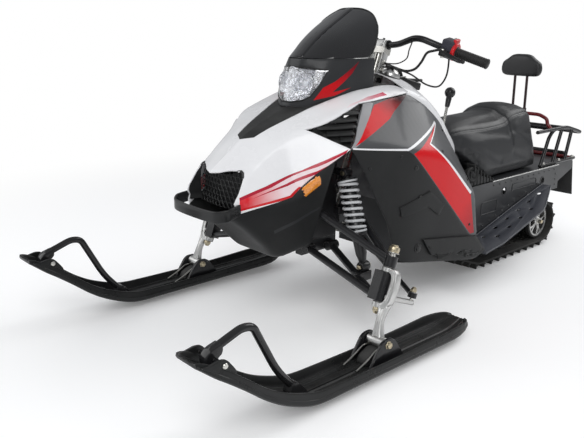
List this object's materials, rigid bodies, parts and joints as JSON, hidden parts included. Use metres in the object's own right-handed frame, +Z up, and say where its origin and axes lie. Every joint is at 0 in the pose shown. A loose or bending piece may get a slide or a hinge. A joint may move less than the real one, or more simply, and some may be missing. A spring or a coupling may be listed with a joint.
{
  "type": "snowmobile",
  "caption": "Light two-seat snowmobile with a rubber track, two steered skis on double wishbones, a padded seat with backrest and a tubular rear rack.",
  "frame": {"origin": "middle of the overall length on the centre plane, on the ground", "axes": "+Z up, -Y towards the ski tips, +X towards the rider's left"},
  "size_m": [1.09, 2.428, 1.0512],
  "materials": {
    "white_body": "gloss white body plastic with red stripes",
    "grey_body": "satin dark grey body plastic",
    "side_graphics": "grey and red gloss body plastic",
    "black_plastic": "grained black moulded plastic",
    "clear_lens": "clear headlamp lens",
    "smoked_screen": "dark smoked windshield",
    "amber_lens": "amber reflector",
    "red_lens": "red tail lamp lens",
    "black_steel": "black powder coated steel",
    "grey_sheet": "dark grey painted sheet",
    "cast_alloy": "cast aluminium",
    "plain_steel": "plated steel",
    "spring_steel": "light grey coil spring",
    "engine_metal": "dark cast engine",
    "red_tube": "dark red painted tube",
    "vinyl": "dark grey seat vinyl",
    "pad_vinyl": "black padded vinyl",
    "rubber": "black rubber",
    "track_rubber": "black track rubber"
  },
  "bodies": {
    "chassis": {"front_bulkhead": "black_steel", "belly_pan": "black_plastic", "front_bumper": "black_plastic", "nose_grille": "black_plastic", "hood": "white_body", "headlight_cowl": "grey_body", "headlight": "clear_lens", "windshield": "smoked_screen", "hood_vents": "black_plastic", "side_panel_left": "side_graphics", "side_panel_right": "side_graphics", "lower_cover_left": "black_plastic", "lower_cover_right": "black_plastic", "side_reflectors": "amber_lens", "console": "white_body", "engine": "engine_metal", "recoil_starter": "black_plastic", "reverse_lever": "black_plastic", "tunnel": "grey_sheet", "running_boards": "grey_sheet", "mud_flap": "rubber", "rear_rack": "black_steel", "tail_light": "red_lens", "seat": "vinyl", "backrest_frame": "red_tube", "backrest_pad": "pad_vinyl", "track": "track_rubber", "skid_frame": "black_steel", "track_wheels": "black_plastic", "drive_axle": "plain_steel", "upper_arms": "black_steel", "lower_arms": "black_steel", "kingpin_blocks": "black_steel", "shock_absorbers": "black_steel", "shock_springs": "spring_steel"},
    "steering": {"steering_post": "plain_steel", "handlebar": "black_steel", "hand_grips": "rubber", "bar_controls": "black_plastic", "control_cables": "rubber"},
    "left_knuckle": {"knuckle_left": "cast_alloy"},
    "right_knuckle": {"knuckle_right": "cast_alloy"},
    "left_tie_rod": {"tie_rod_left": "black_steel"},
    "right_tie_rod": {"tie_rod_right": "black_steel"},
    "left_ski": {"ski_left": "black_plastic"},
    "right_ski": {"ski_right": "black_plastic"}
  },
  "joints": [
    {"name": "steering_turn", "type": "hinge", "parent": "chassis", "child": "steering", "pos_m": [0, -0.031, 0.925], "axis": [0, 0.3746, 0.9272], "range_deg": [-30, 30]},
    {"name": "left_knuckle_turn", "type": "hinge", "parent": "chassis", "child": "left_knuckle", "pos_m": [0.44, -0.486, 0.24], "axis": [0, 0.3746, 0.9272], "range_deg": [-30, 30]},
    {"name": "right_knuckle_turn", "type": "hinge", "parent": "chassis", "child": "right_knuckle", "pos_m": [-0.44, -0.486, 0.24], "axis": [0, 0.3746, 0.9272], "range_deg": [-30, 30]},
    {"name": "left_rod_swing", "type": "hinge", "parent": "left_knuckle", "child": "left_tie_rod", "pos_m": [0.472, -0.38551, 0.19509], "axis": [0, 0.3746, 0.9272], "range_deg": [-30, 30]},
    {"name": "right_rod_swing", "type": "hinge", "parent": "right_knuckle", "child": "right_tie_rod", "pos_m": [-0.472, -0.38551, 0.19509], "axis": [0, 0.3746, 0.9272], "range_deg": [-30, 30]},
    {"name": "left_ski_pitch", "type": "hinge", "parent": "left_knuckle", "child": "left_ski", "pos_m": [0.475, -0.546, 0.095], "axis": [1, 0, 0], "range_deg": [-20, 10]},
    {"name": "right_ski_pitch", "type": "hinge", "parent": "right_knuckle", "child": "right_ski", "pos_m": [-0.475, -0.546, 0.095], "axis": [1, 0, 0], "range_deg": [-20, 10]}
  ],
  "couplings": [
    {"joint": "left_knuckle_turn", "follows": "steering_turn", "ratio": 1},
    {"joint": "right_knuckle_turn", "follows": "steering_turn", "ratio": 1},
    {"joint": "left_rod_swing", "follows": "steering_turn", "ratio": -1},
    {"joint": "right_rod_swing", "follows": "steering_turn", "ratio": -1}
  ]
}
